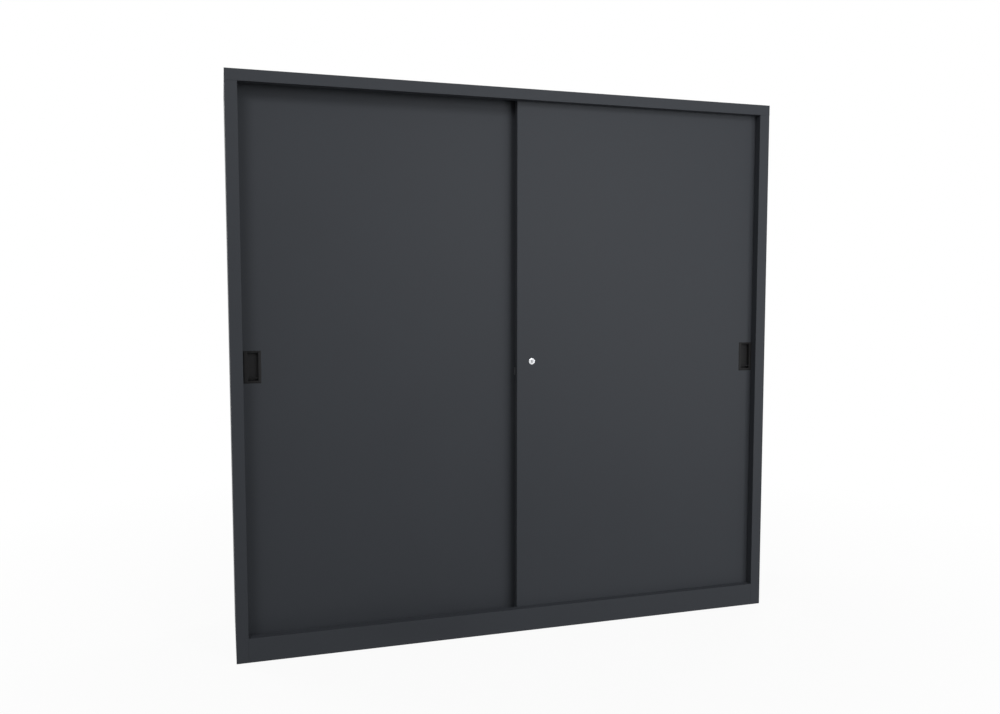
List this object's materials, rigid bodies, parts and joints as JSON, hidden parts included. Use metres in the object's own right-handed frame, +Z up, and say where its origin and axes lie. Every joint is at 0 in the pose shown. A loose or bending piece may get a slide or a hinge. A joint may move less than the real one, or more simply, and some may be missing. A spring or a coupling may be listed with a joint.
{
  "type": "sliding door cabinet",
  "caption": "Wide folded-sheet steel cabinet with flat sliding doors on rails, recessed finger pulls, a cylinder lock, and shelf bays either side of a middle wall.",
  "frame": {"origin": "on the floor under the middle of the cabinet", "axes": "+X to the right seen from the front, +Y from the front to the back, +Z up"},
  "size_m": [2, 0.45, 1.95],
  "materials": {
    "powder_coat": "smooth satin powder coat, anthracite",
    "black_plastic": "moulded, fine matt grain",
    "chrome": "polished",
    "zinc_steel": "zinc plated",
    "aluminium": "extruded, plain",
    "nylon": "moulded nylon",
    "rubber": "moulded rubber"
  },
  "bodies": {
    "carcass": {"back_panel_left": "powder_coat", "back_panel_right": "powder_coat", "bottom_track": "aluminium", "centre_bearer": "powder_coat", "floor_panel": "powder_coat", "middle_wall_left": "powder_coat", "middle_wall_right": "powder_coat", "plinth_front": "powder_coat", "plinth_rear": "powder_coat", "shelf_clips": "zinc_steel", "shelf_left_1": "powder_coat", "shelf_left_2": "powder_coat", "shelf_left_3": "powder_coat", "shelf_left_4": "powder_coat", "shelf_right_1": "powder_coat", "shelf_right_2": "powder_coat", "shelf_right_3": "powder_coat", "shelf_right_4": "powder_coat", "side_panel_left": "powder_coat", "side_panel_right": "powder_coat", "stop_front_left": "rubber", "stop_front_right": "rubber", "stop_rear_left": "rubber", "stop_rear_right": "rubber", "top_panel": "powder_coat", "top_track": "powder_coat", "track_step": "powder_coat", "uprights_left_side": "powder_coat", "uprights_right_side": "powder_coat", "uprights_wall_left_face": "powder_coat", "uprights_wall_right_face": "powder_coat"},
    "front_door": {"front_door_panel": "powder_coat", "front_door_rib": "powder_coat", "front_finger_pull": "black_plastic", "front_top_guides": "nylon", "front_wheel_brackets": "zinc_steel", "lock_housing": "chrome", "lock_nut": "zinc_steel"},
    "rear_door": {"lock_strike": "zinc_steel", "rear_door_panel": "powder_coat", "rear_door_rib": "powder_coat", "rear_finger_pull": "black_plastic", "rear_top_guides": "nylon", "rear_wheel_brackets": "zinc_steel"},
    "lock_cylinder": {"cam_screw": "zinc_steel", "lock_cam": "zinc_steel", "lock_plug": "chrome"},
    "front_wheel_left": {"front_wheel_left": "nylon"},
    "front_wheel_right": {"front_wheel_right": "nylon"},
    "rear_wheel_left": {"rear_wheel_left": "nylon"},
    "rear_wheel_right": {"rear_wheel_right": "nylon"}
  },
  "joints": [
    {"name": "front_door_slide", "type": "slide", "parent": "carcass", "child": "front_door", "axis": [1, 0, 0], "range_m": [-0.967, 0]},
    {"name": "rear_door_slide", "type": "slide", "parent": "carcass", "child": "rear_door", "axis": [1, 0, 0], "range_m": [0, 0.89]},
    {"name": "lock_turn", "type": "hinge", "parent": "front_door", "child": "lock_cylinder", "pos_m": [0.049, -0.165, 0.987], "axis": [0, 1, 0], "range_deg": [0, 180]},
    {"name": "front_wheel_left_roll", "type": "hinge", "parent": "front_door", "child": "front_wheel_left", "pos_m": [0.063, -0.18, 0.0703], "axis": [0, 1, 0], "continuous": true},
    {"name": "front_wheel_right_roll", "type": "hinge", "parent": "front_door", "child": "front_wheel_right", "pos_m": [0.911, -0.18, 0.0703], "axis": [0, 1, 0], "continuous": true},
    {"name": "rear_wheel_left_roll", "type": "hinge", "parent": "rear_door", "child": "rear_wheel_left", "pos_m": [-0.905, -0.137, 0.0703], "axis": [0, 1, 0], "continuous": true},
    {"name": "rear_wheel_right_roll", "type": "hinge", "parent": "rear_door", "child": "rear_wheel_right", "pos_m": [-0.057, -0.137, 0.0703], "axis": [0, 1, 0], "continuous": true}
  ],
  "couplings": [
    {"joint": "front_wheel_left_roll", "follows": "front_door_slide", "rad_per_m": 76.923},
    {"joint": "front_wheel_right_roll", "follows": "front_door_slide", "rad_per_m": 76.923},
    {"joint": "rear_wheel_left_roll", "follows": "rear_door_slide", "rad_per_m": 76.923},
    {"joint": "rear_wheel_right_roll", "follows": "rear_door_slide", "rad_per_m": 76.923}
  ]
}
